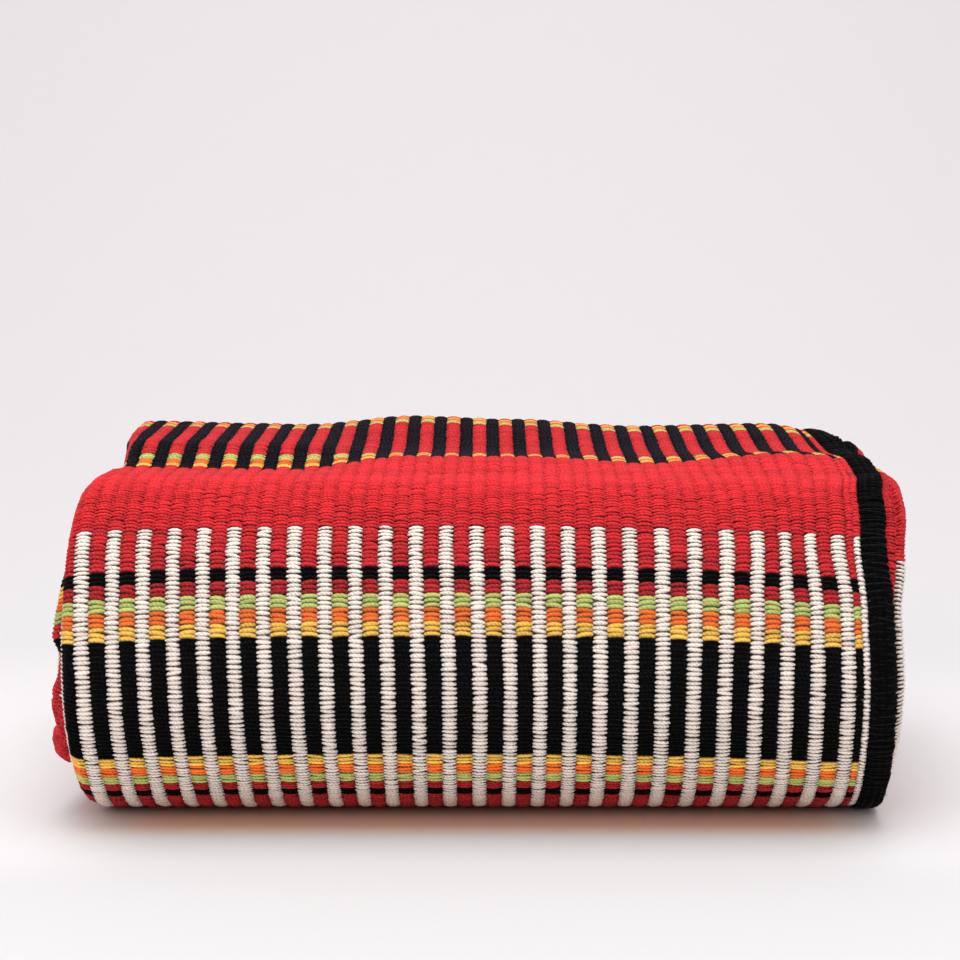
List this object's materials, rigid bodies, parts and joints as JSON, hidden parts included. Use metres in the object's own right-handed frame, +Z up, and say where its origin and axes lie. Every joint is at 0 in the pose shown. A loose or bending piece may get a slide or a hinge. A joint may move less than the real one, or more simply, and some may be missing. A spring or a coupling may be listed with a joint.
{
  "type": "folded throw blanket",
  "caption": "Thick ribbed wool throw blanket in striped weave, folded into a stack with a round front fold and a black bound edge.",
  "frame": {"origin": "bottom centre of the folded blanket's bounding box, on the surface that it lies on", "axes": "+Z up; X across the width of the stack, with the bound edge at +X; the round front fold faces -Y and the hems are at the back"},
  "size_m": [0.4216, 0.314, 0.1872],
  "materials": {
    "wool_cloth": "thick weft-faced wool rib weave, mainly red with black, undyed white, green, orange and yellow stripes, matt and slightly hairy",
    "wool_binding": "black wool edging, matt and hairy"
  },
  "bodies": {
    "root": {"blanket_cloth": "wool_cloth", "edge_binding": "wool_binding"}
  },
  "joints": []
}
